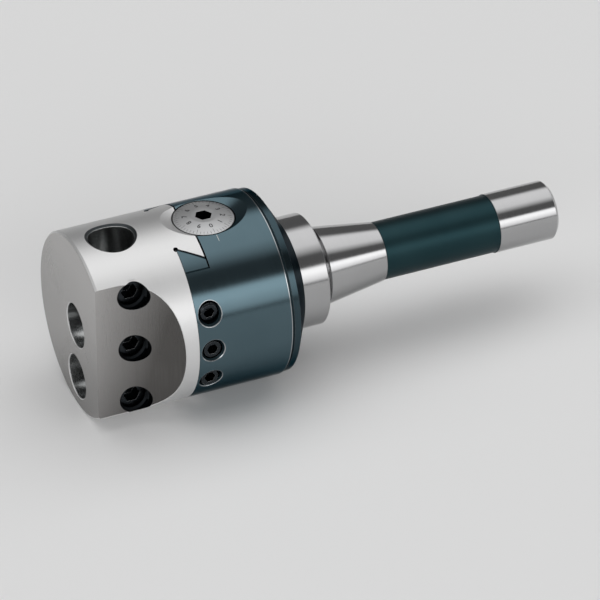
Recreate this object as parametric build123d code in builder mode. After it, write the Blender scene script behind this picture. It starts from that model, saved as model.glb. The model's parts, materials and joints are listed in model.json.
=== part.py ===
"""Boring head with a steep-taper arbor, lying on its side.

Frame, in millimetres: the spindle axis is X, from the tool face at x = 0 towards the arbor. The tool slide
travels along Z, towards the dial at the top. The clamp screws and gib screws are in the front, on the -Y side.
"""

import os
from math import radians, sin, sqrt, tan

from build123d import *

os.makedirs("parts", exist_ok=True)

# Head
head_dia = 75.0
slide_len = 36.4
body_len = 39.0
slide_gap = 0.1
face_bevel = 0.8
overcut = 2.0

# Rear of the head body: a thin groove, a narrow band, then a cone down to the arbor's flange
groove_width = 1.2
groove_depth = 0.7
band_width = 2.5
band_step = 0.6
cone_len = 7.5
rear_dia = 48.0

# Dovetail, with a gib along its front flank
tail_root = 29.8
tail_depth = 9.8
tail_angle = 60.0
tail_bevel = 0.4
tip_gap = 0.6
flank_gap = 0.08
gib_edge = 3.3
gib_gap = 0.03
root_relief_dia = 1.8

# Bores for the boring bars, and the flat that their clamp screws stand in
bore_dia = 18.0
bore_depth = 33.0
bore_rim = 4.5
bore_bevel = 0.5
cross_bevel = 1.0
cross_bore_x = 15.7
flat_depth = 15.0
flat_len = 8.0
flat_cutter_dia = 50.0

# Set screws: the clearance is that of a running fit in the threads' place, and each sink is how far under the
# surface the screw's outer end stands
thread_gap = 0.04
tip_bevel = 0.6
clamp_x = 15.0
clamp_dia = 12.0
clamp_sink = 3.0
clamp_key = 6.0
gib_screw_inset = 5.8
gib_screw_pitch = 15.0
gib_screw_dia = 8.0
gib_screw_sink = 1.2
gib_screw_key = 4.0
gib_mouth_bevel = 0.9
arbor_lock_inset = 13.6
arbor_lock_sink = 4.4
lock_pad_len = 4.0

# Feed screw with its dial, across the head just behind the dovetail
feed_inset = 17.8
slide_travel = 16.0
feed_dia = 10.0
feed_fit = 0.05
feed_key = 6.0
feed_end_sink = 0.25
feed_socket = 7.0
journal_dia = 7.0
journal_len = 6.8
bush_wall = 2.0
bush_len = 6.6
bore_end_wall = 5.5
feed_collar_dia = 15.6
feed_collar_len = 3.0
washer_dia = 17.2
washer_len = 1.0
disc_spring_len = 1.0
disc_spring_sheet = 0.6
stack_gap = 0.05
gland_dia = 18.0
gland_len = 4.2
spanner_hole_dia = 2.2
spanner_hole_pitch = 14.2
dial_dia = 23.8
dial_rim = 3.0
dial_crown = 1.6
dial_sink = 2.2
dial_gap = 0.6
dial_lift = 0.5
hub_dia = 15.2
hub_len = 4.7
dish_dia = 35.0
dial_pin_dia = 2.5

# Feed nut: a peg in the slide's tail, cross-drilled for the feed screw
nut_dia = 16.0
nut_len = 14.8
nut_below = 9.0
nut_gap = 0.3
spigot_dia = 12.0
spigot_len = 6.5
press_gap = 0.02
nut_pin_dia = 3.0
nut_pin_len = 22.0

# Arbor: screwed into the body, with an R8 taper, a relieved shank and a parallel pilot
stub_dia = 38.1
stub_len = 19.6
stub_clear = 1.0
stub_relief = 1.2
flange_dia = 45.0
flange_len = 11.6
flange_gap = 0.05
neck_dia = 27.0
neck_len = 3.4
taper_dia = 31.75
taper_len = 25.8
shank_dia = 24.1
shank_len = 101.6
shank_relief = 0.35
pilot_len = 26.0
pilot_bevel = 1.2
keyway_width = 4.0
keyway_depth = 2.4
keyway_len = 50.0
drawbar_dia = 11.1
drawbar_depth = 32.0
drawbar_bevel = 1.0

# Worked out from the sizes above
head_r = head_dia / 2
clear_r = head_r + overcut
body_x = slide_len + slide_gap
band_x = slide_len + body_len
cone_x = band_x + groove_width + band_width
rear_x = cone_x + cone_len
tail_tip_x = slide_len + tail_depth
tail_spread = tail_depth / tan(radians(tail_angle))
floor_x = tail_tip_x + tip_gap
gib_wall = tail_root / 2 + tail_spread + gib_edge
gib_screw_x = slide_len + gib_screw_inset
gib_mouth_y = sqrt(head_r**2 - (gib_screw_pitch + gib_screw_dia / 2) ** 2)
flat_y = head_r - flat_depth
bore_wall_y = bore_dia / 2
bore_offset = head_r - bore_rim - bore_wall_y
feed_x = slide_len + feed_inset

dial_rim_z = head_r - dial_sink
dial_under_z = dial_rim_z - dial_rim
hub_end_z = dial_under_z - hub_len
gland_top_z = hub_end_z - dial_lift
gland_end_z = gland_top_z - gland_len
spring_end_z = gland_end_z - stack_gap - disc_spring_len
collar_top_z = spring_end_z - washer_len - 2 * stack_gap
collar_end_z = collar_top_z - feed_collar_len
shoulder_z = collar_end_z - washer_len - 2 * stack_gap
bore_end_z = bore_end_wall - head_r
bush_top_z = bore_end_z + press_gap + bush_len
journal_top_z = bush_top_z + dial_lift
journal_end_z = journal_top_z - journal_len
well_r = gland_dia / 2 + feed_fit
counterbore_r = dial_dia / 2 + dial_gap
feed_bore_r = journal_dia / 2 + bush_wall + feed_fit + press_gap
nut_reach_x = floor_x + nut_gap + nut_len
spigot_end_x = tail_tip_x - spigot_len

stub_end_x = rear_x - stub_len
flange_x = rear_x + flange_gap
neck_x = flange_x + flange_len
taper_x = neck_x + neck_len
shank_x = taper_x + taper_len
shank_end_x = taper_x + shank_len
pilot_x = shank_end_x - pilot_len

spindle_axis = Axis((0, 0, 0), (1, 0, 0))
feed_axis = Axis((feed_x, 0, 0), (0, 0, 1))


def front_plane(x, y, z):
    """The plane at a point, facing out of the front, -Y, with its own x along X."""
    return Plane(origin=(x, y, z), x_dir=(1, 0, 0), z_dir=(0, -1, 0))


# Each set screw: the plane of its tip, facing out, its diameter, its length and its key
clamp_tip_y = bore_wall_y + thread_gap
clamp_len = flat_y - clamp_sink - clamp_tip_y
gib_tip_y = gib_wall + thread_gap
gib_screw_len = sqrt(head_r**2 - gib_screw_pitch**2) - gib_screw_sink - gib_tip_y
gib_lock_len = head_r - gib_screw_sink - gib_tip_y
arbor_lock_x = rear_x - arbor_lock_inset
arbor_lock_y = stub_dia / 2 + press_gap + lock_pad_len + 2 * thread_gap
arbor_lock_len = head_r - arbor_lock_sink - arbor_lock_y
set_screws = {
    "clamp_screw_cross": (front_plane(clamp_x, -clamp_tip_y, bore_offset), clamp_dia, clamp_len, clamp_key),
    "clamp_screw_centre": (front_plane(clamp_x, -clamp_tip_y, 0), clamp_dia, clamp_len, clamp_key),
    "clamp_screw_offset": (front_plane(clamp_x, -clamp_tip_y, -bore_offset), clamp_dia, clamp_len, clamp_key),
    "gib_screw_upper": (
        front_plane(gib_screw_x, -gib_tip_y, gib_screw_pitch), gib_screw_dia, gib_screw_len, gib_screw_key),
    "gib_lock_screw": (front_plane(gib_screw_x, -gib_tip_y, 0), gib_screw_dia, gib_lock_len, gib_screw_key),
    "gib_screw_lower": (
        front_plane(gib_screw_x, -gib_tip_y, -gib_screw_pitch), gib_screw_dia, gib_screw_len, gib_screw_key),
    "arbor_lock_screw": (
        Plane(origin=(arbor_lock_x, arbor_lock_y, 0), x_dir=(1, 0, 0), z_dir=(0, 1, 0)),
        gib_screw_dia, arbor_lock_len, gib_screw_key),
}


def cut_screw_hole(node, start=0.0):
    """Cuts a set screw's hole from start past its tip, right out of the head."""
    seat, diameter, _, _ = set_screws[node]
    with BuildSketch(seat.offset(start)) as hole:
        Circle(diameter / 2 + thread_gap)
    extrude(hole.sketch, amount=clear_r, mode=Mode.SUBTRACT)


def turn_about_feed(points, mode=Mode.ADD):
    """Turns a profile, given as (radius, z) points, about the feed screw's axis."""
    with BuildSketch(Plane.XZ) as profile:
        with BuildLine():
            Polyline([(feed_x + r, z) for r, z in points], close=True)
        make_face()
    revolve(profile.sketch, axis=feed_axis, mode=mode)


def cut_dial_dish():
    """Cuts the shallow cone round the dial, which opens out to the head's cylinder."""
    slope = (head_r - dial_rim_z) / (dish_dia / 2 - counterbore_r)
    top_z = head_r + overcut * slope
    turn_about_feed(
        [(0, dial_rim_z), (counterbore_r, dial_rim_z), (dish_dia / 2 + overcut, top_z), (0, top_z)], Mode.SUBTRACT)


# Head body: turned blank, dovetail groove with a straight wall for the gib, bores for the feed screw and arbor
with BuildPart() as head_body:
    with BuildSketch(Plane.XY):
        with BuildLine():
            Polyline(
                [
                    (body_x, 0), (body_x, head_r), (band_x, head_r),
                    (band_x, head_r - groove_depth), (band_x + groove_width, head_r - groove_depth),
                    (band_x + groove_width, head_r - band_step), (cone_x, head_r - band_step),
                    (rear_x, rear_dia / 2), (rear_x, 0),
                ],
                close=True)
        make_face()
    revolve(axis=spindle_axis)
    groove_grow = flank_gap / sin(radians(tail_angle))
    with BuildSketch(Plane.XY):
        with BuildLine():
            floor_half = tail_root / 2 + (floor_x - slide_len) / tan(radians(tail_angle)) + groove_grow
            face_half = tail_root / 2 + slide_gap / tan(radians(tail_angle)) + groove_grow
            Polyline(
                [(body_x, -gib_wall), (body_x, face_half), (floor_x, floor_half), (floor_x, -gib_wall)], close=True)
        make_face()
    extrude(amount=clear_r, both=True, mode=Mode.SUBTRACT)
    with BuildSketch(Plane.YZ.offset(floor_x)):
        with Locations((0, slide_travel / 2 - nut_below)):
            SlotOverall(slide_travel + nut_dia + 2 * nut_gap, nut_dia + 2 * nut_gap, rotation=90)
    extrude(amount=nut_reach_x + nut_gap - floor_x, mode=Mode.SUBTRACT)
    turn_about_feed(
        [
            (0, bore_end_z), (feed_bore_r, bore_end_z), (feed_bore_r, shoulder_z), (well_r, shoulder_z),
            (well_r, dial_under_z - dial_lift), (counterbore_r, dial_under_z - dial_lift),
            (counterbore_r, clear_r), (0, clear_r),
        ],
        Mode.SUBTRACT)
    cut_dial_dish()
    with BuildSketch(Plane.YZ.offset(rear_x)):
        Circle(stub_dia / 2 + press_gap)
    extrude(amount=-(stub_len + stub_clear), mode=Mode.SUBTRACT)
    for node in ("gib_screw_upper", "gib_lock_screw", "gib_screw_lower"):
        cut_screw_hole(node)
    curved_edges = head_body.edges().filter_by(GeomType.BSPLINE)
    gib_mouths = curved_edges.filter_by_position(Axis.Y, -clear_r, -gib_mouth_y)
    chamfer(gib_mouths, min(gib_mouth_bevel, (gib_mouth_y - gib_wall) / 2))
    cut_screw_hole("arbor_lock_screw", start=-arbor_lock_y)
head_body.part.label = "head_body"
export_step(head_body.part, "parts/head_body.step")

# Tool slide: one outline with its tail, cut from a round blank, then the flat, the bores and the dial's relief
with BuildPart() as tool_slide:
    with BuildSketch(Plane.XY):
        with BuildLine():
            root_half = tail_root / 2
            tip_half = root_half + tail_spread
            Polyline(
                [
                    (0, -head_r), (slide_len, -head_r), (slide_len, -root_half), (tail_tip_x, -tip_half),
                    (tail_tip_x, tip_half), (slide_len, root_half), (slide_len, head_r), (0, head_r),
                ],
                close=True)
        make_face()
    extrude(amount=clear_r, both=True)
    tips = tool_slide.edges().filter_by(Axis.Z).group_by(Axis.X)[-1]
    chamfer(tips, tail_bevel)
    with BuildSketch(Plane.XY):
        with Locations((slide_len, root_half), (slide_len, -root_half)):
            Circle(root_relief_dia / 2)
    extrude(amount=clear_r, both=True, mode=Mode.SUBTRACT)
    with BuildSketch(Plane.XY):
        with BuildLine():
            Polyline(
                [
                    (0, 0), (0, head_r - face_bevel), (face_bevel, head_r), (tail_tip_x, head_r), (tail_tip_x, 0),
                ],
                close=True)
        make_face()
    revolve(axis=spindle_axis, mode=Mode.INTERSECT)
    with BuildSketch(Plane.XY):
        with Locations((flat_len, -flat_y - flat_cutter_dia / 2)):
            Circle(flat_cutter_dia / 2)
        with Locations((flat_len / 2, -flat_y - flat_depth)):
            Rectangle(flat_len, 2 * flat_depth)
    extrude(amount=clear_r, both=True, mode=Mode.SUBTRACT)
    with BuildSketch(Plane.YZ):
        with Locations((0, 0), (0, -bore_offset)):
            Circle(bore_dia / 2)
    extrude(amount=bore_depth, mode=Mode.SUBTRACT)
    mouths = tool_slide.faces().sort_by(Axis.X)[0].inner_wires().edges()
    chamfer(mouths, bore_bevel)
    with BuildSketch(Plane.XY):
        with Locations((cross_bore_x, 0)):
            Circle(bore_dia / 2)
    extrude(amount=clear_r, both=True, mode=Mode.SUBTRACT)
    cross_mouths = tool_slide.edges().filter_by(GeomType.BSPLINE).filter_by(
        lambda edge: abs(edge.center().Z) > bore_offset + bore_wall_y
        and abs(edge.center().X - cross_bore_x) < bore_wall_y)
    chamfer(cross_mouths, cross_bevel)
    relief_z = shoulder_z - slide_travel - dial_lift
    turn_about_feed(
        [
            (0, relief_z), (well_r + dial_gap, relief_z),
            (well_r + dial_gap, dial_under_z - slide_travel - dial_lift),
            (counterbore_r, dial_under_z - slide_travel - dial_lift), (counterbore_r, clear_r), (0, clear_r),
        ],
        Mode.SUBTRACT)
    cut_dial_dish()
    for node in ("clamp_screw_cross", "clamp_screw_centre", "clamp_screw_offset"):
        cut_screw_hole(node, start=-bore_wall_y)
    with BuildSketch(Plane.YZ.offset(tail_tip_x)):
        with Locations((0, -nut_below)):
            Circle(spigot_dia / 2 + press_gap)
    extrude(amount=-spigot_len - press_gap, mode=Mode.SUBTRACT)
    with BuildSketch(Plane.XZ.offset(-nut_pin_len / 2)):
        with Locations((tail_tip_x - spigot_len / 2, -nut_below)):
            Circle(nut_pin_dia / 2 + press_gap)
    extrude(amount=nut_pin_len / 2 + head_r, mode=Mode.SUBTRACT)
tool_slide.part.label = "tool_slide"
export_step(tool_slide.part, "parts/tool_slide.step")

# Gib: straight against the body, slanted along the tail, its ends round with the head
with BuildPart() as gib:
    with BuildSketch(Plane.XY):
        with BuildLine():
            gib_grow = (flank_gap + gib_gap) / sin(radians(tail_angle))
            gib_top_x = tail_tip_x - gib_gap
            face_half = tail_root / 2 + 2 * slide_gap / tan(radians(tail_angle)) + gib_grow
            tip_half = tail_root / 2 + (gib_top_x - slide_len) / tan(radians(tail_angle)) + gib_grow
            Polyline(
                [
                    (slide_len + 2 * slide_gap, -gib_wall + gib_gap), (slide_len + 2 * slide_gap, -face_half),
                    (gib_top_x, -tip_half), (gib_top_x, -gib_wall + gib_gap),
                ],
                close=True)
        make_face()
    extrude(amount=clear_r, both=True)
    with BuildSketch(Plane.YZ.offset(slide_len)):
        Circle(head_r)
    extrude(amount=tail_depth, mode=Mode.INTERSECT)
gib.part.label = "gib"
export_step(gib.part, "parts/gib.step")

# Set screws: hexagon sockets, bevelled at both ends
for node, (seat, diameter, length, key) in set_screws.items():
    with BuildPart() as set_screw:
        with BuildSketch(seat):
            Circle(diameter / 2)
        extrude(amount=length)
        chamfer(set_screw.edges().filter_by(GeomType.CIRCLE), tip_bevel)
        with BuildSketch(seat.offset(length)):
            RegularPolygon(key / 2, 6, major_radius=False)
        extrude(amount=-length / 2, mode=Mode.SUBTRACT)
    set_screw.part.label = node
    export_step(set_screw.part, f"parts/{node}.step")

# Soft pad between the lock screw and the arbor's thread
with BuildPart() as lock_pad:
    with BuildSketch(Plane.XZ.offset(-stub_dia / 2 - press_gap)):
        with Locations((arbor_lock_x, 0)):
            Circle(gib_screw_dia / 2 - thread_gap)
    extrude(amount=-lock_pad_len)
lock_pad.part.label = "lock_pad"
export_step(lock_pad.part, "parts/lock_pad.step")

# Feed screw: socket end, neck, thrust collar, thread and journal
with BuildPart() as feed_screw:
    feed_top_z = dial_rim_z + dial_crown - feed_end_sink
    turn_about_feed(
        [
            (0, journal_end_z), (journal_dia / 2, journal_end_z), (journal_dia / 2, journal_top_z),
            (feed_dia / 2, journal_top_z), (feed_dia / 2, collar_end_z), (feed_collar_dia / 2, collar_end_z),
            (feed_collar_dia / 2, collar_top_z), (feed_dia / 2, collar_top_z), (feed_dia / 2, feed_top_z),
            (0, feed_top_z),
        ])
    with BuildSketch(Plane.XY.offset(feed_top_z)):
        with Locations((feed_x, 0)):
            RegularPolygon(feed_key / 2, 6, major_radius=False)
    extrude(amount=-feed_socket, mode=Mode.SUBTRACT)
    pin_z = hub_end_z + hub_len / 2
    with BuildSketch(Plane.YZ):
        with Locations((0, pin_z)):
            Circle(dial_pin_dia / 2 + press_gap)
    extrude(amount=feed_x + clear_r, mode=Mode.SUBTRACT)
feed_screw.part.label = "feed_screw"
export_step(feed_screw.part, "parts/feed_screw.step")

# Graduated dial: domed face, with a hub that is pinned to the feed screw
with BuildPart() as graduated_dial:
    with BuildSketch(Plane.XZ):
        with BuildLine():
            dial_r = dial_dia / 2
            bore_r = feed_dia / 2 + press_gap
            dome_r = (dial_r**2 + dial_crown**2) / (2 * dial_crown)
            bore_top_z = dial_rim_z + dial_crown - dome_r + sqrt(dome_r**2 - bore_r**2)
            Polyline(
                (feed_x + bore_r, bore_top_z), (feed_x + bore_r, hub_end_z), (feed_x + hub_dia / 2, hub_end_z),
                (feed_x + hub_dia / 2, dial_under_z), (feed_x + dial_r, dial_under_z), (feed_x + dial_r, dial_rim_z))
            RadiusArc((feed_x + dial_r, dial_rim_z), (feed_x + bore_r, bore_top_z), -dome_r)
        make_face()
    revolve(axis=feed_axis)
    with BuildSketch(Plane.YZ):
        with Locations((0, pin_z)):
            Circle(dial_pin_dia / 2 + press_gap)
    extrude(amount=feed_x + clear_r, mode=Mode.SUBTRACT)
graduated_dial.part.label = "graduated_dial"
export_step(graduated_dial.part, "parts/graduated_dial.step")

# Pin through the dial's hub and the feed screw, below the socket's end
with BuildPart() as dial_pin:
    with BuildSketch(Plane.YZ.offset(feed_x - hub_dia / 2 + press_gap)):
        with Locations((0, pin_z)):
            Circle(dial_pin_dia / 2)
    extrude(amount=hub_dia - 2 * press_gap)
dial_pin.part.label = "dial_pin"
export_step(dial_pin.part, "parts/dial_pin.step")

# Gland nut, which screws down over the feed screw's collar, with two holes for a pin spanner
with BuildPart() as gland_nut:
    turn_about_feed(
        [
            (feed_dia / 2 + feed_fit, gland_end_z), (gland_dia / 2, gland_end_z), (gland_dia / 2, gland_top_z),
            (feed_dia / 2 + feed_fit, gland_top_z),
        ])
    with BuildSketch(Plane.XY.offset(gland_top_z)):
        with Locations((feed_x, spanner_hole_pitch / 2), (feed_x, -spanner_hole_pitch / 2)):
            Circle(spanner_hole_dia / 2)
    extrude(amount=-gland_len / 2, mode=Mode.SUBTRACT)
gland_nut.part.label = "gland_nut"
export_step(gland_nut.part, "parts/gland_nut.step")

# Disc spring that takes up the feed screw's end play
with BuildPart() as disc_spring:
    spring_in = feed_dia / 2 + dial_gap
    spring_out = washer_dia / 2
    spring_top = spring_end_z + disc_spring_len
    turn_about_feed(
        [
            (spring_in, spring_top - disc_spring_sheet), (spring_out, spring_end_z),
            (spring_out, spring_end_z + disc_spring_sheet), (spring_in, spring_top),
        ])
disc_spring.part.label = "disc_spring"
export_step(disc_spring.part, "parts/disc_spring.step")

# Thrust washers above and below the feed screw's collar
washer_seats = {
    "thrust_washer_upper": spring_end_z - washer_len - stack_gap,
    "thrust_washer_lower": shoulder_z + stack_gap,
}
for node, washer_z in washer_seats.items():
    with BuildPart() as thrust_washer:
        turn_about_feed(
            [
                (feed_dia / 2 + feed_fit, washer_z), (washer_dia / 2, washer_z),
                (washer_dia / 2, washer_z + washer_len), (feed_dia / 2 + feed_fit, washer_z + washer_len),
            ])
    thrust_washer.part.label = node
    export_step(thrust_washer.part, f"parts/{node}.step")

# Plain bush for the feed screw's journal, at the blind end of its bore
with BuildPart() as journal_bush:
    turn_about_feed(
        [
            (journal_dia / 2 + feed_fit, bush_top_z - bush_len), (feed_bore_r - press_gap, bush_top_z - bush_len),
            (feed_bore_r - press_gap, bush_top_z), (journal_dia / 2 + feed_fit, bush_top_z),
        ])
journal_bush.part.label = "journal_bush"
export_step(journal_bush.part, "parts/journal_bush.step")

# Feed nut: the peg's spigot sits in the slide's tail, and its head runs in the body's slot
with BuildPart() as feed_nut:
    with BuildSketch(Plane.YZ.offset(spigot_end_x)):
        with Locations((0, -nut_below)):
            Circle(spigot_dia / 2)
    extrude(amount=spigot_len + tip_gap + nut_gap)
    with BuildSketch(Plane.YZ.offset(floor_x + nut_gap)):
        with Locations((0, -nut_below)):
            Circle(nut_dia / 2)
    extrude(amount=nut_len)
    with BuildSketch(Plane.XY):
        with Locations((feed_x, 0)):
            Circle(feed_dia / 2 + feed_fit)
    extrude(amount=clear_r, both=True, mode=Mode.SUBTRACT)
    with BuildSketch(Plane.XZ):
        with Locations((tail_tip_x - spigot_len / 2, -nut_below)):
            Circle(nut_pin_dia / 2 + press_gap)
    extrude(amount=clear_r, both=True, mode=Mode.SUBTRACT)
feed_nut.part.label = "feed_nut"
export_step(feed_nut.part, "parts/feed_nut.step")

# Pin through the slide's tail and the feed nut's spigot
with BuildPart() as nut_pin:
    with BuildSketch(Plane.XZ.offset(-nut_pin_len / 2 + press_gap)):
        with Locations((tail_tip_x - spigot_len / 2, -nut_below)):
            Circle(nut_pin_dia / 2)
    extrude(amount=nut_pin_len)
nut_pin.part.label = "nut_pin"
export_step(nut_pin.part, "parts/nut_pin.step")

# Arbor: thread stub, flange, steep taper, relieved shank, pilot, keyway and drawbar thread
with BuildPart() as arbor:
    with BuildSketch(Plane.XY):
        with BuildLine():
            Polyline(
                [
                    (stub_end_x, 0), (stub_end_x, stub_dia / 2 - stub_relief),
                    (stub_end_x + stub_relief, stub_dia / 2), (rear_x - 2 * stub_relief, stub_dia / 2),
                    (rear_x - 2 * stub_relief, stub_dia / 2 - stub_relief),
                    (flange_x, stub_dia / 2 - stub_relief), (flange_x, flange_dia / 2 - tail_bevel),
                    (flange_x + tail_bevel, flange_dia / 2), (neck_x - tail_bevel, flange_dia / 2),
                    (neck_x, flange_dia / 2 - tail_bevel), (neck_x, neck_dia / 2), (taper_x, neck_dia / 2),
                    (taper_x, taper_dia / 2 - tail_bevel), (taper_x + tail_bevel, taper_dia / 2),
                    (shank_x, shank_dia / 2), (shank_x + shank_relief, shank_dia / 2 - shank_relief),
                    (pilot_x - shank_relief, shank_dia / 2 - shank_relief), (pilot_x, shank_dia / 2),
                    (shank_end_x - pilot_bevel, shank_dia / 2), (shank_end_x, shank_dia / 2 - pilot_bevel),
                    (shank_end_x, 0),
                ],
                close=True)
        make_face()
    revolve(axis=spindle_axis)
    with BuildSketch(Plane.YZ.offset(shank_end_x)):
        Circle(drawbar_dia / 2)
    extrude(amount=-drawbar_depth, mode=Mode.SUBTRACT)
    mouth = arbor.faces().sort_by(Axis.X)[-1].inner_wires().edges()
    chamfer(mouth, drawbar_bevel)
    with BuildSketch(Plane.XZ.offset(-shank_dia / 2)):
        with Locations((shank_end_x, 0)):
            SlotOverall(2 * keyway_len, keyway_width)
    extrude(amount=keyway_depth, mode=Mode.SUBTRACT)
arbor.part.label = "arbor"
export_step(arbor.part, "parts/arbor.step")
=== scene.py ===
# %% [markdown]
# # A boring head on its arbor
# A boring head holds a boring bar in a slide. Turning the small dial moves the slide across the spindle's axis, so the
# bar cuts a wider hole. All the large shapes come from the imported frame. This lesson adds what the frame doesn't have:
# the finish of each metal, the dial's figures and lines, and the threads that show in open holes.

# %% Frame
import json
import math

import bpy
from mathutils import Matrix, Vector


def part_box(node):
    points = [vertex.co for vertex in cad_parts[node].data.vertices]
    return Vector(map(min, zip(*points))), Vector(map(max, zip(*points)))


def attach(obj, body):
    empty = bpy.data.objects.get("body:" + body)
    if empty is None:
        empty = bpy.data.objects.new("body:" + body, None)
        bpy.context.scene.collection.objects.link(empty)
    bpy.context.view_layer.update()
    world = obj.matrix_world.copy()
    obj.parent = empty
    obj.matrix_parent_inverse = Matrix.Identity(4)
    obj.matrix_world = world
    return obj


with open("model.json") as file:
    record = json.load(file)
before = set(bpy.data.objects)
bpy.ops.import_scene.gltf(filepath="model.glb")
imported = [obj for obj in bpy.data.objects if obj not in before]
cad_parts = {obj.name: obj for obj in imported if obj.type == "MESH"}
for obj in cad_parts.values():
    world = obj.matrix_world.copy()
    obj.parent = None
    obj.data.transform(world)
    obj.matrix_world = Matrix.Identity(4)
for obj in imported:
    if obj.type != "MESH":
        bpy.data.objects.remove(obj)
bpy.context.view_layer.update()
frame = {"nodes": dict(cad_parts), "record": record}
nodes = frame["nodes"]
scene = bpy.context.scene

# %% [markdown]
# ## Places
# Everything added later sits on a part of the frame, so its place is measured there. Sizes are in metres, as in the
# frame: a value such as 1.8 * MM reads as 1.8 millimetres.

# %% Places measured on the frame
MM = 0.001


def middle(node):
    """The middle of a node's box."""
    low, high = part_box(node)
    return (low + high) / 2


def top(node):
    """The highest z of a node."""
    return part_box(node)[1].z


mounts = {mount["name"]: Vector(mount["pos_m"]) for mount in frame["record"]["mounts"]}
clamp_screws = sorted(name for name in nodes if name.startswith("clamp_screw"))
dial_centre = middle("graduated_dial")
dial_radius = (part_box("graduated_dial")[1].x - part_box("graduated_dial")[0].x) / 2
head_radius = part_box("tool_slide")[1].y
gib_screw_x = middle("gib_lock_screw").x
gib_screw_z = middle("gib_screw_upper").z
body_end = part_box("head_body")[1].x
arbor_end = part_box("arbor")[1].x
tail_depth, root_half, flank_angle, tip_gap = 9.8 * MM, 14.9 * MM, math.radians(60), 0.6 * MM
tail_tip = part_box("tool_slide")[1].x
tail_root = tail_tip - tail_depth
gib_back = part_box("gib")[0].y
print("dial radius:", round(dial_radius / MM, 2), "head radius:", round(head_radius / MM, 2))
print("dovetail from", round(tail_root / MM, 2), "to", round(tail_tip / MM, 2))

# %% [markdown]
# ## Building materials
# A metal's look is mostly its reflections, so its colour matters less than how rough it is, where it is rougher, and
# which way the tool marks run. Each finish below starts from one shader and a few patterns in Object coordinates,
# which are metres in the frame. The helper makes a node and sets or links its inputs in one line.

# %% Node helpers
def add(tree, kind, inputs=None, **settings):
    """Adds a node. An input that is a socket gets linked, any other value gets set."""
    node = tree.nodes.new(kind)
    for name, value in settings.items():
        setattr(node, name, value)
    for name, value in (inputs or {}).items():
        if isinstance(value, bpy.types.NodeSocket):
            tree.links.new(value, node.inputs[name])
        else:
            node.inputs[name].default_value = value
    return node


def calculate(tree, operation, a, b=0.0):
    """A Math node's result."""
    return add(tree, "ShaderNodeMath", {0: a, 1: b}, operation=operation).outputs[0]


print("node helpers ready")


# %% Ranges, colours and bare metals
def between(tree, value, low, high, soft):
    """1 where value lies between low and high, falling to 0 over the distance soft at each side."""
    rise = add(tree, "ShaderNodeMapRange", {"Value": value, 1: low - soft, 2: low + soft}).outputs[0]
    fall = add(tree, "ShaderNodeMapRange", {"Value": value, 1: high - soft, 2: high + soft, 3: 1.0, 4: 0.0}).outputs[0]
    return calculate(tree, "MULTIPLY", rise, fall)


def mix_colour(tree, factor, a, b):
    """A colour between a and b."""
    node = add(tree, "ShaderNodeMix", data_type="RGBA")
    for socket, value in ((node.inputs[0], factor), (node.inputs[6], a), (node.inputs[7], b)):
        if isinstance(value, bpy.types.NodeSocket):
            tree.links.new(value, socket)
        else:
            socket.default_value = value if isinstance(value, float) else (*value, 1)
    return node.outputs[2]


def metal(name, colour, roughness):
    """An uncoated metal: its material, tree, shader, and the place of the shaded point as x, y and z."""
    material = bpy.data.materials.new(name)
    material.use_nodes = True
    tree = material.node_tree
    shader = tree.nodes["Principled BSDF"]
    shader.inputs["Base Color"].default_value = (*colour, 1)
    shader.inputs["Metallic"].default_value = 1.0
    shader.inputs["Roughness"].default_value = roughness
    place = add(tree, "ShaderNodeTexCoord").outputs["Object"]
    return material, tree, shader, place


print("metal helpers ready")

# %% [markdown]
# Turned and ground surfaces carry fine rings round the axis they were turned about. A pattern that changes quickly
# along the axis and quickly with the distance from it, and hardly at all round it, gives those rings on the cylinder
# and on its end face alike. Handling leaves larger soft smudges, which change the roughness and a little the shade.

# %% Tool marks and smudges
def rings(tree, place, axis, centre, pitch):
    """Fine rings about an axis through centre: a noise that is stretched round that axis."""
    moved = add(tree, "ShaderNodeVectorMath", {0: place, 1: centre}, operation="SUBTRACT").outputs[0]
    part = add(tree, "ShaderNodeSeparateXYZ", {0: moved}).outputs
    along, across = part[axis], [part[i] for i in range(3) if i != axis]
    flat = add(tree, "ShaderNodeCombineXYZ", {0: across[0], 1: across[1]}).outputs[0]
    distance = add(tree, "ShaderNodeVectorMath", {0: flat}, operation="LENGTH").outputs["Value"]
    quickly, slowly = 1 / pitch, 0.02 / pitch
    where = add(tree, "ShaderNodeCombineXYZ", {
        0: calculate(tree, "MULTIPLY", along, quickly),
        1: calculate(tree, "MULTIPLY", distance, quickly),
        2: calculate(tree, "MULTIPLY", across[0], slowly)}).outputs[0]
    return add(tree, "ShaderNodeTexNoise", {"Vector": where, "Scale": 1.0, "Detail": 3.0}).outputs["Fac"]


def straight_lines(tree, x, z, pitch):
    """Fine lines that run along z, as a milling cutter leaves them."""
    quickly, slowly = 1 / pitch, 0.03 / pitch
    where = add(tree, "ShaderNodeCombineXYZ", {
        0: calculate(tree, "MULTIPLY", x, quickly), 1: calculate(tree, "MULTIPLY", z, slowly)}).outputs[0]
    return add(tree, "ShaderNodeTexNoise", {"Vector": where, "Scale": 1.0, "Detail": 3.0}).outputs["Fac"]


def smudges(tree, place, size):
    """Large soft patches."""
    return add(tree, "ShaderNodeTexNoise", {"Vector": place, "Scale": 1 / size, "Detail": 4.0}).outputs["Fac"]


def around(tree, middle_value, *patterns):
    """middle_value plus each pattern's swing: a pattern is (its factor, how far it swings in all)."""
    total = middle_value
    for factor, swing in patterns:
        centred = calculate(tree, "SUBTRACT", factor, 0.5)
        total = calculate(tree, "ADD", calculate(tree, "MULTIPLY", centred, swing), total)
    return total


print("tool marks ready")

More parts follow.
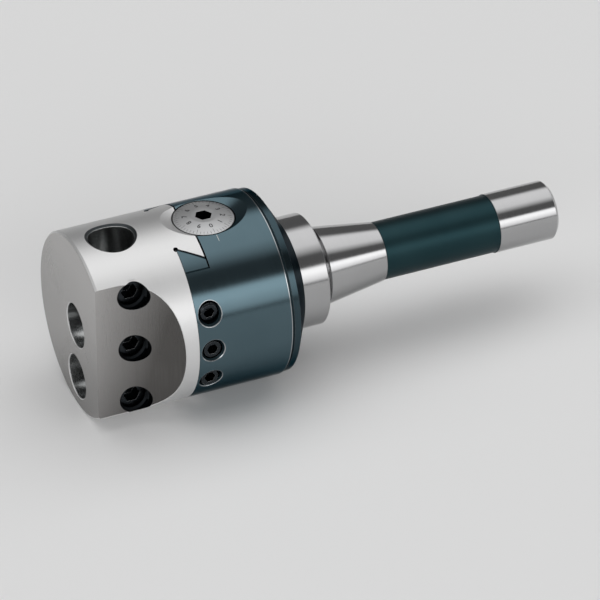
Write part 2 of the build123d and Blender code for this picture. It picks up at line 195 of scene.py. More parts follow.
# %% [markdown]
# A finish changes from place to place on one piece, as between a bore and the face round it. A mask says where: it is
# 1 inside the place and 0 outside, and it mixes two colours or adds to the roughness. Most places on this head are
# near a line, near the dovetail's outline, or at a certain distance from the spindle's axis. A mask that ends at a
# face goes past it by a hair's breadth, so that the face itself is wholly inside or outside.

# %% Masks
hair = 0.05 * MM
edge_soft = 0.01 * MM


def near_line(tree, place, point, axis, reach):
    """1 within reach of the line through point along an axis."""
    moved = add(tree, "ShaderNodeVectorMath", {0: place, 1: tuple(point)}, operation="SUBTRACT").outputs[0]
    keep_across = tuple(0.0 if i == axis else 1.0 for i in range(3))
    flat = add(tree, "ShaderNodeVectorMath", {0: moved, 1: keep_across}, operation="MULTIPLY").outputs[0]
    distance = add(tree, "ShaderNodeVectorMath", {0: flat}, operation="LENGTH").outputs["Value"]
    return calculate(tree, "LESS_THAN", distance, reach)


def any_of(tree, *masks):
    """1 where any of the masks is."""
    total = masks[0]
    for mask in masks[1:]:
        total = calculate(tree, "MAXIMUM", total, mask)
    return total


def distance_from_spindle(tree, y, z):
    """How far the shaded point is from the spindle's axis."""
    across = add(tree, "ShaderNodeCombineXYZ", {1: y, 2: z}).outputs[0]
    return add(tree, "ShaderNodeVectorMath", {0: across}, operation="LENGTH").outputs["Value"]


def near_dovetail(tree, x, y, reach):
    """1 within reach of the dovetail's outline: its flanks, at 60 degrees, its tip, or the gib's back."""
    from_root = calculate(tree, "SUBTRACT", x, tail_root)
    from_edge = calculate(tree, "SUBTRACT", calculate(tree, "ABSOLUTE", y), root_half)
    off_flank = calculate(
        tree, "SUBTRACT", calculate(tree, "MULTIPLY", from_edge, math.sin(flank_angle)),
        calculate(tree, "MULTIPLY", from_root, math.cos(flank_angle)))
    off_tip = calculate(tree, "SUBTRACT", x, tail_tip + tip_gap / 2)
    outside = calculate(tree, "MAXIMUM", off_flank, off_tip)
    close = calculate(tree, "LESS_THAN", calculate(tree, "ABSOLUTE", outside), reach)
    inside = between(tree, x, tail_root, tail_tip + tip_gap, edge_soft)
    behind_gib = between(tree, y, gib_back - 0.6 * reach, gib_back + 0.6 * reach, edge_soft)
    return calculate(tree, "MULTIPLY", any_of(tree, close, behind_gib), inside)


print("masks ready")


# %% Surface relief
def finish_surface(tree, shader, marks, depth, edge):
    """Rounds the sharp edges a little in the light, and presses the tool marks in."""
    rounded = add(tree, "ShaderNodeBevel", {"Radius": edge}, samples=4).outputs[0]
    bump = add(tree, "ShaderNodeBump", {"Height": marks, "Strength": 0.35, "Distance": depth, "Normal": rounded})
    tree.links.new(bump.outputs[0], shader.inputs["Normal"])
    return rounded


spindle_line = (0.0, 0.0, 0.0)
slit_reach = 0.42 * MM
print("surface relief ready")

# %% [markdown]
# ## The slide's steel
# The slide has a pale satin finish, with fine rings round the spindle axis. Four places differ. The tool face and
# the flat for the clamp screws are smoother and greyer, with painted shade that darkens them away from the dial.
# The flat's milling marks run straight, and painted shade darkens it towards the body too. The bores are honed,
# and darker with painted shade, nearly black on the rim round the cross bore. Painted shade makes the clamp screws'
# threads darker still, and the mouths of the slits round the dovetail. Each place is a mask in Object coordinates.

# %% Where the slide's finish changes
flat_y = -22.5 * MM
flat_edge = head_radius - 0.25 * MM
clamp_tips_y = -9.0 * MM
bore_reach, cross_rim_reach, clamp_reach, relief_reach = 9.1 * MM, 10.1 * MM, 6.15 * MM, 1.0 * MM
mouth_radius = head_radius - 1.2 * MM

slide_steel, tree, shader, place = metal("slide_steel", (0.66, 0.66, 0.66), 0.45)
patches = smudges(tree, place, 22 * MM)
x, y, z = add(tree, "ShaderNodeSeparateXYZ", {0: place}).outputs
milled = calculate(
    tree, "MULTIPLY", calculate(tree, "LESS_THAN", y, flat_y + hair),
    calculate(tree, "LESS_THAN", distance_from_spindle(tree, y, z), flat_edge))
ground = any_of(tree, milled, calculate(tree, "LESS_THAN", x, hair))
cross_rim = near_line(tree, place, mounts["cross_bore"], 2, cross_rim_reach)
bores = any_of(
    tree, near_line(tree, place, mounts["cross_bore"], 2, bore_reach),
    near_line(tree, place, mounts["centre_bore"], 0, bore_reach),
    near_line(tree, place, mounts["offset_bore"], 0, bore_reach))
clamp_holes = calculate(
    tree, "MULTIPLY", calculate(tree, "LESS_THAN", y, clamp_tips_y),
    any_of(tree, *(near_line(tree, place, middle(name), 1, clamp_reach) for name in clamp_screws)))
slits = any_of(
    tree, near_dovetail(tree, x, y, slit_reach),
    near_line(tree, place, (tail_root, root_half, 0), 2, relief_reach),
    near_line(tree, place, (tail_root, -root_half, 0), 2, relief_reach))
mouths = calculate(tree, "GREATER_THAN", distance_from_spindle(tree, y, z), mouth_radius)
shaded_holes_and_slits = any_of(tree, clamp_holes, calculate(tree, "MULTIPLY", slits, mouths))
print("slide's places ready, with bores at", [name for name in mounts if "bore" in name])

# %% Slide steel
turned = calculate(
    tree, "MULTIPLY", rings(tree, place, 0, spindle_line, 0.35 * MM), calculate(tree, "SUBTRACT", 1.0, milled))
cut = calculate(tree, "MULTIPLY", straight_lines(tree, x, z, 0.5 * MM), milled)
marks = calculate(tree, "ADD", turned, cut)
shade = around(tree, 0.5, (marks, 0.5), (patches, 0.7))
pale = mix_colour(tree, shade, (0.65, 0.648, 0.645), (0.73, 0.732, 0.735))
palest, darkest, body_pull = -30.0 * MM, 96.0 * MM, 4.0
# Painted shade: the tool face and the flat darken away from the dial and towards the body.
corner = calculate(tree, "SUBTRACT", calculate(tree, "MULTIPLY", x, body_pull), z)
painted_shade = add(tree, "ShaderNodeMapRange", {"Value": corner, 1: palest, 2: darkest}).outputs[0]
shaded_grey = mix_colour(tree, around(tree, painted_shade, (shade, 0.2)), (0.44, 0.431, 0.425), (0.11, 0.106, 0.102))
colour = mix_colour(tree, ground, pale, shaded_grey)
# Painted shade: a nearly black rim round the cross bore.
colour = mix_colour(tree, cross_rim, colour, (0.06, 0.066, 0.07))
# Painted shade: the bores are darker than the satin face.
colour = mix_colour(tree, bores, colour, mix_colour(tree, shade, (0.44, 0.45, 0.45), (0.54, 0.55, 0.55)))
# Painted shade: the clamp holes, their threads and the mouths of the dovetail's slits go nearly black.
colour = mix_colour(tree, shaded_holes_and_slits, colour, (0.014, 0.016, 0.018))
tree.links.new(colour, shader.inputs["Base Color"])
satin = around(tree, 0.48, (marks, 0.08), (patches, 0.10))
smoother = calculate(tree, "MULTIPLY", any_of(tree, ground, bores), 0.22)
tree.links.new(calculate(tree, "SUBTRACT", satin, smoother), shader.inputs["Roughness"])
finish_surface(tree, shader, marks, 0.006 * MM, 0.15 * MM)
print("made", slide_steel.name)

# %% [markdown]
# The washers, the disc spring and the pin are plain ground steel, inside the head.

# %% Ground steel
ground_steel, tree, shader, place = metal("ground_steel", (0.62, 0.62, 0.62), 0.25)
marks = rings(tree, place, 2, (dial_centre.x, dial_centre.y, 0.0), 0.3 * MM)
tree.links.new(around(tree, 0.25, (marks, 0.12)), shader.inputs["Roughness"])
tree.links.new(mix_colour(tree, marks, (0.55, 0.55, 0.55), (0.69, 0.69, 0.69)), shader.inputs["Base Color"])
finish_surface(tree, shader, marks, 0.01 * MM, 0.1 * MM)
print("made", ground_steel.name)

# %% [markdown]
# ## Black oxide
# The body and gib are blacked in a hot salt bath. The skin is thin and blue-black, it takes its sheen from the ground
# steel below it, and it wears through to bare steel along the edges. A dark skin must not turn white at grazing
# angles, which the specular tint sees to. The body's groove and rear cone are turned roughly and stay dull, and have
# painted shade, as do its rear band, the bevel in each gib screw's hole and the slits round the dovetail. A line of
# painted highlight stands before the groove, and another runs round each gib screw's hole.

# %% The body's own places
groove_from, groove_to = body_end - 11.2 * MM, body_end - 10.0 * MM
cone_from = body_end - 7.4 * MM
groove_edge = head_radius - 0.1 * MM
# A painted highlight ring round each gib screw's hole, and painted shade on the bevel inside it.
ring_inner, ring_outer = 4.7 * MM, 4.98 * MM
bevel_inner, bevel_outer = 3.9 * MM, 4.65 * MM
# Width of the painted highlight line before the groove.
highlight_width = 0.3 * MM


def body_places(tree, x, y, z):
    """Three masks on the body: lines of painted highlight, rougher places with painted shade, and painted shade on its
    rear.
    """
    from_row = calculate(tree, "SUBTRACT", calculate(tree, "ABSOLUTE", z), gib_screw_z / 2)
    from_hole = calculate(tree, "SUBTRACT", calculate(tree, "ABSOLUTE", from_row), gib_screw_z / 2)
    behind = calculate(tree, "MAXIMUM", y, 0.0)
    flat = add(tree, "ShaderNodeCombineXYZ", {
        0: calculate(tree, "SUBTRACT", x, gib_screw_x), 1: from_hole, 2: behind})
    distance = add(tree, "ShaderNodeVectorMath", {0: flat.outputs[0]}, operation="LENGTH").outputs["Value"]
    lines = any_of(
        tree, between(tree, distance, ring_inner, ring_outer, 0.04 * MM),
        between(tree, x, groove_from - highlight_width, groove_from, 0.03 * MM))
    groove = calculate(
        tree, "MULTIPLY", between(tree, x, groove_from, groove_to, edge_soft),
        calculate(tree, "LESS_THAN", distance_from_spindle(tree, y, z), groove_edge))
    cone = calculate(tree, "GREATER_THAN", x, cone_from)
    # Painted shade on the bevel in each gib screw's hole and on the rear band.
    shaded_bevels = between(tree, distance, bevel_inner, bevel_outer, 0.02 * MM)
    shaded_band = calculate(tree, "GREATER_THAN", x, groove_to - 0.1 * MM)
    return lines, any_of(tree, groove, cone, shaded_bevels), shaded_band


print("groove in mm:", round(groove_from / MM, 2), "to", round(groove_to / MM, 2))


# %% Black oxide
def bare_edges(tree, rounded, least):
    """1 on sharp edges: where the rounded normal turns away from the true one."""
    true_normal = add(tree, "ShaderNodeNewGeometry").outputs["True Normal"]
    same = add(tree, "ShaderNodeVectorMath", {0: rounded, 1: true_normal}, operation="DOT_PRODUCT").outputs["Value"]
    return add(tree, "ShaderNodeMapRange", {"Value": same, 1: 1 - least, 2: 1 - 3 * least}).outputs[0]


def blacked(name, whole_body):
    """A black oxide finish with painted shade at the slits, and the body's own painted highlight lines and rougher,
    shaded places where they are asked for.
    """
    material, tree, shader, place = metal(name, (0.03, 0.04, 0.05), 0.3)
    shader.inputs["Specular Tint"].default_value = (0.35, 0.38, 0.40, 1)
    marks = rings(tree, place, 0, spindle_line, 0.4 * MM)
    patches = smudges(tree, place, 14 * MM)
    clouds = around(tree, 0.5, (patches, 0.9), (marks, 0.25))
    skin = mix_colour(tree, clouds, (0.072, 0.112, 0.131), (0.090, 0.136, 0.157))
    rounded = finish_surface(tree, shader, marks, 0.005 * MM, 0.15 * MM)
    wear_and_highlights = calculate(tree, "MULTIPLY", bare_edges(tree, rounded, 0.06), calculate(tree, "MULTIPLY", patches, 0.9))
    roughness = around(tree, 0.15, (marks, 0.04), (patches, 0.07))
    x, y, z = add(tree, "ShaderNodeSeparateXYZ", {0: place}).outputs
    dull_and_shaded = near_dovetail(tree, x, y, slit_reach)
    wear_and_highlights = calculate(tree, "MULTIPLY", wear_and_highlights, calculate(tree, "SUBTRACT", 1.0, dull_and_shaded))
    if whole_body:
        lines, rough_and_shaded, shaded_band = body_places(tree, x, y, z)
        wear_and_highlights = any_of(tree, wear_and_highlights, lines)
        dull_and_shaded = any_of(tree, dull_and_shaded, rough_and_shaded)
        roughness = calculate(tree, "ADD", roughness, calculate(tree, "MULTIPLY", dull_and_shaded, 0.25))
        dull_and_shaded = any_of(tree, dull_and_shaded, calculate(tree, "MULTIPLY", shaded_band, 0.6))
    # Painted shade: the slits round the dovetail, and on the body its groove, rear cone, hole bevels and rear band, go
    # darker.
    skin = mix_colour(tree, dull_and_shaded, skin, (0.014, 0.024, 0.029))
    # Worn edges are pale, and on the body so are lines of painted highlight before the groove and round the gib
    # screws' holes.
    tree.links.new(mix_colour(tree, wear_and_highlights, skin, (0.42, 0.43, 0.44)), shader.inputs["Base Color"])
    tree.links.new(roughness, shader.inputs["Roughness"])
    return material


black_oxide = blacked("black_oxide", whole_body=False)
black_body = blacked("black_oxide_body", whole_body=True)
print("made", black_oxide.name, "and", black_body.name)

# %% [markdown]
# ## Screws, dial and bronze
# Set screws are blacked without grinding, so they are duller; their edges are worn, and painted pale for a painted
# glint. The dial is turned and satin chromed, and its rings run round its own axis. The feed screw's end is flush with
# the dial, and only its hexagon socket is dark, with painted shade. The nut and bushes are bronze, and hardly show.

# %% Screw, dial and bronze finishes
screw_skin, screw_wear_and_glint = (0.028, 0.032, 0.036), (0.50, 0.51, 0.52)
screw_black, tree, shader, place = metal("screw_black", screw_skin, 0.3)
patches = smudges(tree, place, 3 * MM)
tree.links.new(around(tree, 0.27, (patches, 0.2)), shader.inputs["Roughness"])
rounded = finish_surface(tree, shader, patches, 0.02 * MM, 0.2 * MM)
# Worn edges, painted pale as a painted glint.
wear_and_glint = calculate(tree, "MULTIPLY", bare_edges(tree, rounded, 0.05), patches)
tree.links.new(mix_colour(tree, wear_and_glint, screw_skin, screw_wear_and_glint), shader.inputs["Base Color"])

socket_reach = 3.48 * MM
dial_steel, tree, shader, place = metal("dial_steel", (0.56, 0.57, 0.58), 0.45)
marks = rings(tree, place, 2, (dial_centre.x, dial_centre.y, 0.0), 0.22 * MM)
patches = smudges(tree, place, 9 * MM)
tree.links.new(around(tree, 0.45, (marks, 0.10), (patches, 0.10)), shader.inputs["Roughness"])
shade = around(tree, 0.5, (marks, 0.7), (patches, 0.5))
face = mix_colour(tree, shade, (0.50, 0.505, 0.51), (0.60, 0.605, 0.61))
z = add(tree, "ShaderNodeSeparateXYZ", {0: place}).outputs[2]
# Painted shade: the hexagon socket is nearly black.
socket = calculate(
    tree, "MULTIPLY", near_line(tree, place, dial_centre, 2, socket_reach),
    calculate(tree, "LESS_THAN", z, top("feed_screw") - hair))
tree.links.new(mix_colour(tree, socket, face, (0.012, 0.013, 0.014)), shader.inputs["Base Color"])
finish_surface(tree, shader, marks, 0.006 * MM, 0.12 * MM)

bronze, tree, shader, place = metal("bronze", (0.62, 0.42, 0.2), 0.35)
marks = rings(tree, place, 0, spindle_line, 0.3 * MM)
tree.links.new(around(tree, 0.34, (marks, 0.2)), shader.inputs["Roughness"])
tree.links.new(mix_colour(tree, marks, (0.52, 0.33, 0.15), (0.70, 0.50, 0.26)), shader.inputs["Base Color"])
finish_surface(tree, shader, marks, 0.01 * MM, 0.1 * MM)
print("made", screw_black.name, dial_steel.name, bronze.name)

# %% [markdown]
# ## The arbor
# The arbor is one piece of steel with two finishes. Its flange, taper and pilot are ground bright, because they fit
# the spindle. The relieved part between them fits nothing and stays black. One material does both, with a mask along
# x whose limits are the frame's own edges. The drawbar's threaded hole is darker, with painted shade.

# %% Arbor finish
black_from = arbor_end - 75.8 * MM
black_to = arbor_end - 26.0 * MM
hole_reach = 6.3 * MM
arbor_steel, tree, shader, place = metal("arbor_steel", (0.40, 0.40, 0.404), 0.13)
marks = rings(tree, place, 0, spindle_line, 0.3 * MM)
patches = smudges(tree, place, 16 * MM)
x = add(tree, "ShaderNodeSeparateXYZ", {0: place}).outputs[0]
black = between(tree, x, black_from, black_to, 0.15 * MM)
bright = mix_colour(tree, around(tree, 0.5, (marks, 0.6), (patches, 0.6)), (0.37, 0.37, 0.373), (0.43, 0.43, 0.434))
dark = mix_colour(tree, patches, (0.013, 0.035, 0.041), (0.023, 0.051, 0.058))
# Painted shade: the drawbar's threaded hole is darker.
in_hole = calculate(
    tree, "MULTIPLY", near_line(tree, place, spindle_line, 0, hole_reach),
    calculate(tree, "LESS_THAN", x, arbor_end - hair))
colour = mix_colour(tree, in_hole, mix_colour(tree, black, bright, dark), (0.06, 0.061, 0.063))
tree.links.new(colour, shader.inputs["Base Color"])
polish = around(tree, 0.13, (marks, 0.05), (patches, 0.06))
tree.links.new(calculate(tree, "ADD", polish, calculate(tree, "MULTIPLY", black, 0.30)), shader.inputs["Roughness"])
finish_surface(tree, shader, marks, 0.008 * MM, 0.15 * MM)
print("black from", round(black_from / MM, 2), "to", round(black_to / MM, 2))

# %% [markdown]
# ## Dressing the frame
# A frame piece keeps its mesh, and only its material slot changes. The finishes go to the pieces by name.

# %% Finishes for the frame's pieces
finishes = {
    slide_steel: ["tool_slide"],
    ground_steel: ["disc_spring", "thrust_washer_upper", "thrust_washer_lower", "nut_pin"],
    black_body: ["head_body"],
    black_oxide: ["gib", "gland_nut"],
    screw_black: [
        "gib_screw_upper", "gib_lock_screw", "gib_screw_lower", "arbor_lock_screw", "dial_pin", *clamp_screws],
    dial_steel: ["graduated_dial", "feed_screw"],
    bronze: ["lock_pad", "journal_bush", "feed_nut"],
    arbor_steel: ["arbor"],
}
for material, names in finishes.items():
    for name in names:
        nodes[name].data.materials.clear()
        nodes[name].data.materials.append(material)
print("dressed", sum(map(len, finishes.values())), "of", len(nodes))

# %% [markdown]
# ## Marking paint
# The dial's figures and lines are engraved and filled with black paint, and the index line on the black body with
# white. Such paint is matt, and a little uneven.

# %% Paint for the marks
def marking(name, low, high):
    """Matt paint whose colour wanders between two others."""
    material, tree, shader, place = metal(name, low, 0.6)
    shader.inputs["Metallic"].default_value = 0.0
    patches = smudges(tree, place, 0.8 * MM)
    tree.links.new(mix_colour(tree, patches, low, high), shader.inputs["Base Color"])
    tree.links.new(around(tree, 0.6, (patches, 0.3)), shader.inputs["Roughness"])
    return material


mark_paint = marking("mark_paint", (0.012, 0.012, 0.014), (0.04, 0.04, 0.043))
index_paint = marking("index_paint", (0.50, 0.50, 0.48), (0.66, 0.66, 0.64))
print("made", mark_paint.name, index_paint.name)

# %% [markdown]
# ## Geometry Nodes, from the script
# A row of lines round a dial and a thread in a hole follow a rule, so Geometry Nodes make them. The script builds
# each tree, gives it named inputs, runs it on an empty mesh and keeps the result as a plain mesh.

# %% Tree helpers
def new_tree(name, **inputs):
    """A Geometry Nodes tree with these inputs, a whole number giving a whole-number socket."""
    tree = bpy.data.node_groups.new(name, "GeometryNodeTree")
    for socket, value in inputs.items():
        kind = "NodeSocketInt" if isinstance(value, int) else "NodeSocketFloat"
        made = tree.interface.new_socket(socket, in_out="INPUT", socket_type=kind)
        made.default_value = value
    tree.interface.new_socket("Material", in_out="INPUT", socket_type="NodeSocketMaterial")
    tree.interface.new_socket("Geometry", in_out="OUTPUT", socket_type="NodeSocketGeometry")
    return tree, tree.nodes.new("NodeGroupInput").outputs


def end_tree(tree, given, geometry):
    """Ends a tree: real geometry, its material, then the output."""
    real = add(tree, "GeometryNodeRealizeInstances", {"Geometry": geometry}).outputs[0]
    painted = add(tree, "GeometryNodeSetMaterial", {"Geometry": real, "Material": given["Material"]}).outputs[0]
    add(tree, "NodeGroupOutput", {"Geometry": painted})


def grow(tree, material, **values):
    """Runs a tree and gives its result as a plain mesh."""
    host = bpy.data.objects.new("host", bpy.data.meshes.new("host"))
    scene.collection.objects.link(host)
    modifier = host.modifiers.new("Shape", "NODES")
    modifier.node_group = tree
    for item in tree.interface.items_tree:
        if item.in_out == "INPUT":
            modifier[item.identifier] = material if item.name == "Material" else values[item.name]
    mesh = bpy.data.meshes.new_from_object(host.evaluated_get(bpy.context.evaluated_depsgraph_get()))
    bpy.data.objects.remove(host)
    return mesh


print("tree helpers ready")


# %% Keeping a mesh as a piece
def keep(name, mesh, body):
    """Makes a finished mesh a piece of the object that rides on a body."""
    mesh.name = name
    piece = bpy.data.objects.new(name, mesh)
    scene.collection.objects.link(piece)
    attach(piece, body)
    print(name, "on", body, "with", len(mesh.polygons), "faces")


def join(meshes):
    """One mesh from several that share a material."""
    objects = [bpy.data.objects.new("part", mesh) for mesh in meshes]
    for part in objects:
        scene.collection.objects.link(part)
    with bpy.context.temp_override(active_object=objects[0], selected_editable_objects=objects):
        bpy.ops.object.join()
    mesh = objects[0].data
    bpy.data.objects.remove(objects[0])
    return mesh


print("piece helpers ready")

# %% [markdown]
# ## The dial's lines
# Fifty lines divide the dial, and every fifth one is longer, for a figure. The dial's face is a shallow dome, so the
# tree first sets thin flat bars in a ring and then lays them on a sphere of the dome's radius: each point keeps its
# x and y, and its z comes from the sphere.

# %% Dial dome
dome_height = 1.6 * MM
dome_radius = (dial_radius**2 + dome_height**2) / (2 * dome_height)
dome_middle = Vector((dial_centre.x, dial_centre.y, top("feed_screw") + 0.25 * MM - dome_radius))
paint_height = 0.02 * MM
zero_turn = -math.pi / 2
print("dome radius in mm:", round(dome_radius / MM, 2))

# %% Bars in a ring
line_tree, given = new_tree(
    "Dial lines", Count=50, Every=5, Outer=0.011, Short=0.001, Long=0.002, Width=0.0002, Dome=0.045, Height=0.00002)
points = add(line_tree, "GeometryNodePoints", {"Count": given["Count"]}).outputs[0]
index = add(line_tree, "GeometryNodeInputIndex").outputs[0]
turn = calculate(line_tree, "MULTIPLY", index, calculate(line_tree, "DIVIDE", math.tau, given["Count"]))
longer = calculate(line_tree, "LESS_THAN", calculate(line_tree, "MODULO", index, given["Every"]), 0.5)
extra = calculate(line_tree, "SUBTRACT", given["Long"], given["Short"])
length = calculate(line_tree, "ADD", given["Short"], calculate(line_tree, "MULTIPLY", longer, extra))
bar = add(line_tree, "GeometryNodeMeshCube", {"Size": (1, 1, 1), "Vertices X": 4}).outputs[0]
radius = calculate(line_tree, "SUBTRACT", given["Outer"], calculate(line_tree, "MULTIPLY", length, 0.5))
spot = add(line_tree, "ShaderNodeCombineXYZ", {
    0: calculate(line_tree, "MULTIPLY", radius, calculate(line_tree, "COSINE", turn)),
    1: calculate(line_tree, "MULTIPLY", radius, calculate(line_tree, "SINE", turn))}).outputs[0]
placed = add(line_tree, "GeometryNodeSetPosition", {"Geometry": points, "Position": spot}).outputs[0]
rotation = add(line_tree, "ShaderNodeCombineXYZ", {2: turn}).outputs[0]
size = add(line_tree, "ShaderNodeCombineXYZ", {0: length, 1: given["Width"], 2: given["Height"]}).outputs[0]
bars = add(line_tree, "GeometryNodeInstanceOnPoints", {
    "Points": placed, "Instance": bar, "Rotation": rotation, "Scale": size}).outputs[0]
real = add(line_tree, "GeometryNodeRealizeInstances", {"Geometry": bars}).outputs[0]
print("ring tree has", len(line_tree.nodes), "nodes")

# %% Bars laid on the dome
position = add(line_tree, "GeometryNodeInputPosition").outputs[0]
px, py, pz = add(line_tree, "ShaderNodeSeparateXYZ", {0: position}).outputs
across = calculate(
    line_tree, "ADD", calculate(line_tree, "MULTIPLY", px, px), calculate(line_tree, "MULTIPLY", py, py))
sphere = calculate(line_tree, "SQRT", calculate(
    line_tree, "SUBTRACT", calculate(line_tree, "MULTIPLY", given["Dome"], given["Dome"]), across))
on_dome = add(line_tree, "ShaderNodeCombineXYZ", {
    0: px, 1: py, 2: calculate(line_tree, "ADD", sphere, pz)}).outputs[0]
laid = add(line_tree, "GeometryNodeSetPosition", {"Geometry": real, "Position": on_dome}).outputs[0]
end_tree(line_tree, given, laid)

dial_lines = grow(
    line_tree, mark_paint, Count=50, Every=5, Outer=dial_radius - 0.35 * MM, Short=1.2 * MM, Long=2.2 * MM,
    Width=0.13 * MM, Dome=dome_radius, Height=2 * paint_height)
dial_lines.transform(Matrix.Translation(dome_middle) @ Matrix.Rotation(zero_turn, 4, "Z"))
keep("dial_lines", dial_lines, "feed")

# %% [markdown]
# ## The dial's figures
# The figures 0 to 9 stand round the dial with their feet towards its middle, and count up anticlockwise, from the
# zero line in front. Each is a text object that becomes a mesh first. Its points then go onto the dome one by one,
# so that the figure follows the face.

# %% Dial figures
figure_height = 2.0 * MM
figure_radius = 7.3 * MM
figure_bolder = 0.06 * MM
digit_share = 0.7


def figure_mesh(text):
    """A thin text, centred, lying in the xy plane."""
    curve = bpy.data.curves.new("figure", "FONT")
    curve.body = text
    curve.size = figure_height / digit_share
    curve.align_x = "CENTER"
    curve.align_y = "CENTER"
    curve.extrude = paint_height
    curve.offset = figure_bolder
    curve.resolution_u = 4
    host = bpy.data.objects.new("figure", curve)
    scene.collection.objects.link(host)
    mesh = bpy.data.meshes.new_from_object(host.evaluated_get(bpy.context.evaluated_depsgraph_get()))
    bpy.data.objects.remove(host)
    mesh.materials.clear()
    mesh.materials.append(mark_paint)
    return mesh


figures = []
for number in range(10):
    turn = zero_turn + number * math.tau / 10
    mesh = figure_mesh(str(number))
    outwards = Matrix.Rotation(turn - math.pi / 2, 4, "Z") @ Matrix.Translation((0, figure_radius, 0))
    mesh.transform(outwards)
    for vertex in mesh.vertices:
        x, y, z = vertex.co
        vertex.co.z = z + math.sqrt(dome_radius**2 - x * x - y * y)
    mesh.transform(Matrix.Translation(dome_middle))
    figures.append(mesh)
keep("dial_figures", join(figures), "feed")

# %% [markdown]
# ## The index line
# The dial is read against one short line on the body, beside its front edge. The body is round there, so the line
# is a thin strip swept along an arc about the spindle's axis, half sunk in the surface.

# %% Index line
arc_tree, given = new_tree("Line on a round body", Radius=0.0375, Start=0.3, Sweep=0.1, Width=0.0002, Height=0.00004)
arc = add(arc_tree, "GeometryNodeCurveArc", {
    "Resolution": 12, "Radius": given["Radius"], "Start Angle": given["Start"],
    "Sweep Angle": given["Sweep"]}).outputs[0]
upright = add(arc_tree, "GeometryNodeSetCurveNormal", {"Curve": arc}, mode="Z_UP").outputs[0]
section = add(arc_tree, "GeometryNodeCurvePrimitiveQuadrilateral", {
    "Width": given["Height"], "Height": given["Width"]}).outputs[0]
end_tree(arc_tree, given, add(arc_tree, "GeometryNodeCurveToMesh", {
    "Curve": upright, "Profile Curve": section, "Fill Caps": True}).outputs[0])

nearest = math.asin((dial_radius + 1.0 * MM) / head_radius)
farthest = math.asin((dial_radius + 3.6 * MM) / head_radius)
index_line = grow(
    arc_tree, index_paint, Radius=head_radius, Start=nearest, Sweep=farthest - nearest, Width=0.22 * MM,
    Height=2 * paint_height)
up_and_forwards = Matrix(((0, 0, 1, dial_centre.x), (0, -1, 0, 0), (1, 0, 0, 0), (0, 0, 0, 1)))
index_line.transform(up_and_forwards)
keep("index_line", index_line, "head")
corners = [vertex.co / MM for vertex in index_line.vertices]
print("index line in mm:", [[round(limit(c[i] for c in corners), 2) for limit in (min, max)] for i in range(3)])

# %% [markdown]
# ## Threads in open holes
# A set screw stands below the surface, so the thread above it shows. So does the drawbar's thread in the arbor's
# end. A thread is one helix with a diamond section whose outer half is buried in the wall, so a sharp ridge stands
# inwards. The same tree makes all of them, and each mesh is turned to its own hole.

# %% Thread tree
thread_tree, given = new_tree("Thread", Radius=0.006, Pitch=0.00175, Turns=2.0, Steps=32)
helix = add(thread_tree, "GeometryNodeCurveSpiral", {
    "Resolution": given["Steps"], "Rotations": given["Turns"], "Start Radius": given["Radius"],
    "End Radius": given["Radius"],
    "Height": calculate(thread_tree, "MULTIPLY", given["Turns"], given["Pitch"])}).outputs[0]
upright = add(thread_tree, "GeometryNodeSetCurveNormal", {"Curve": helix}, mode="Z_UP").outputs[0]
diamond = add(thread_tree, "GeometryNodeCurvePrimitiveCircle", {
    "Resolution": 4, "Radius": calculate(thread_tree, "MULTIPLY", given["Pitch"], 0.46)}).outputs[0]
ridge = add(thread_tree, "GeometryNodeCurveToMesh", {
    "Curve": upright, "Profile Curve": diamond, "Fill Caps": True}).outputs[0]
end_tree(thread_tree, given, add(thread_tree, "GeometryNodeSetShadeSmooth", {
    "Geometry": ridge, "Shade Smooth": False}).outputs[0])


def hole_thread(start, direction, material, hole_radius, pitch, length):
    """A thread in a hole, from start along direction, ending a ridge short of length."""
    mesh = grow(
        thread_tree, material, Radius=hole_radius, Pitch=pitch, Turns=(length - pitch) / pitch, Steps=32)
    turn = Vector(direction).to_track_quat("Z", "Y").to_matrix().to_4x4()
    mesh.transform(Matrix.Translation(start) @ turn @ Matrix.Translation((0, 0, pitch / 2)))
    return mesh


print("thread tree has", len(thread_tree.nodes), "nodes")


# %% Threads of the clamp holes, the lock hole and the drawbar hole
def screw_mouth(node, axis, low_end):
    """The middle of a set screw's outer end."""
    low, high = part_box(node)
    end = (low + high) / 2
    end[axis] = low[axis] if low_end else high[axis]
    return end


clamp_threads = [
    hole_thread(
        screw_mouth(name, 1, True), (0, -1, 0), slide_steel, hole_radius=6.04 * MM, pitch=1.75 * MM, length=3.6 * MM)
    for name in clamp_screws]
lock_thread = hole_thread(
    screw_mouth("arbor_lock_screw", 1, False), (0, 1, 0), black_oxide,
    hole_radius=4.04 * MM, pitch=1.25 * MM, length=4.0 * MM)
drawbar_bottom = Vector((arbor_end - 30.0 * MM, 0, 0))
drawbar_thread = hole_thread(
    drawbar_bottom, (1, 0, 0), arbor_steel, hole_radius=5.55 * MM, pitch=1.27 * MM, length=28.6 * MM)
keep("clamp_hole_threads", join(clamp_threads), "slide")
keep("lock_hole_thread", lock_thread, "head")
keep("drawbar_hole_thread", drawbar_thread, "head")

# %% [markdown]
# ## The stage
# The head lies on a pale floor. Far out, the floor rises a little on all sides, as a studio's does, so that a low
# view has no hard horizon. The floor is part of the stage, not of the object.

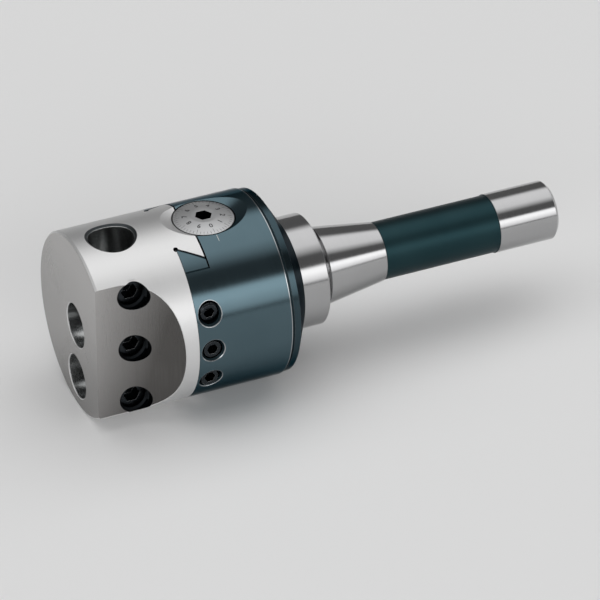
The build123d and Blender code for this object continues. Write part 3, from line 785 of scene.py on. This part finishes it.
# %% Floor
floor_z = -head_radius
floor_size, squares = 18, 72
below_head = (0.1, 0, floor_z)
bpy.ops.mesh.primitive_grid_add(
    x_subdivisions=squares, y_subdivisions=squares, size=floor_size, location=below_head)
floor = bpy.context.object
floor.name = "floor"
floor.data.shade_smooth()
level_out_to, rising_for, rise = 4.0, 4.5, 0.45
for vertex in floor.data.vertices:
    outwards = min(max((vertex.co.xy.length - level_out_to) / rising_for, 0), 1)
    vertex.co.z = rise * outwards**2
floor_paint = bpy.data.materials.new("floor_paint")
floor_paint.use_nodes = True
tree = floor_paint.node_tree
shader = tree.nodes["Principled BSDF"]
shader.inputs["Roughness"].default_value = 0.6
shader.inputs["Specular IOR Level"].default_value = 0.2
grain = add(tree, "ShaderNodeTexNoise", {
    "Vector": add(tree, "ShaderNodeTexCoord").outputs["Object"], "Scale": 3.0, "Detail": 2.0}).outputs["Fac"]
tree.links.new(mix_colour(tree, grain, (0.80, 0.80, 0.80), (0.82, 0.82, 0.82)), shader.inputs["Base Color"])
floor.data.materials.append(floor_paint)
print("floor at", round(floor_z / MM, 2), "mm")

# %% [markdown]
# ## Light
# Round bright metal shows the room as bands along it, so the room decides how it looks. Here the room is two long soft
# boxes that run the same way as the spindle, one low in front and one overhead, with a dim gap between them and a dim
# wall behind. The angle round the spindle's axis is 0 degrees in front, 90 overhead and 180 behind, and a colour ramp
# turns it into brightness. Towards the two ends of the spindle the bands fade into plain grey.

# %% Room
world = bpy.data.worlds.new("room")
scene.world = world
world.use_nodes = True
tree = world.node_tree
x, y, z = add(tree, "ShaderNodeSeparateXYZ", {0: add(tree, "ShaderNodeTexCoord").outputs["Generated"]}).outputs
angle = calculate(tree, "ARCTAN2", z, calculate(tree, "MULTIPLY", y, -1.0))
turn = add(tree, "ShaderNodeMapRange", {"Value": angle, 1: 0.0, 2: math.pi}).outputs[0]
ramp = add(tree, "ShaderNodeValToRGB", {0: turn})
room = [
    (0, 0.25), (4, 0.25), (10, 1.5), (19, 2.0), (25, 2.35), (33, 2.35), (39, 0.14), (60, 0.16), (70, 0.75), (82, 1.3),
    (104, 1.4), (120, 1.4), (134, 0.16), (180, 0.16)]
strength = max(level for _, level in room)
stops = ramp.color_ramp.elements
while len(stops) < len(room):
    stops.new(1.0)
for stop, (degrees, level) in zip(stops, room):
    stop.position = degrees / 180
    stop.color = (level / strength, level / strength, level / strength, 1)
bands_end, plain_from, plain_level = 0.72, 0.9, 0.38
end = add(tree, "ShaderNodeMapRange", {
    "Value": calculate(tree, "ABSOLUTE", x), 1: bands_end, 2: plain_from}).outputs[0]
plain = plain_level / strength
tree.links.new(mix_colour(tree, end, ramp.outputs[0], (plain, plain, plain)), tree.nodes["Background"].inputs["Color"])
tree.nodes["Background"].inputs["Strength"].default_value = strength
scene.view_settings.view_transform = "Standard"
print("room:", room)

# %% [markdown]
# ## Camera
# The camera looks down at the front from the left, as in a catalogue picture, through a long lens that keeps the
# round shapes round.

# %% Camera
camera = bpy.data.objects.new("camera", bpy.data.cameras.new("camera"))
camera.data.lens = 269.5
camera.data.clip_end = 50
camera.location = (-0.5019, -1.3424, 0.9819)
looks_at = Vector((0.0950, 0.0, -0.0142))
aim = looks_at - camera.location
camera.rotation_euler = aim.to_track_quat("-Z", "Y").to_euler()
scene.collection.objects.link(camera)
scene.camera = camera
print("camera", round(aim.length, 3), "m away")
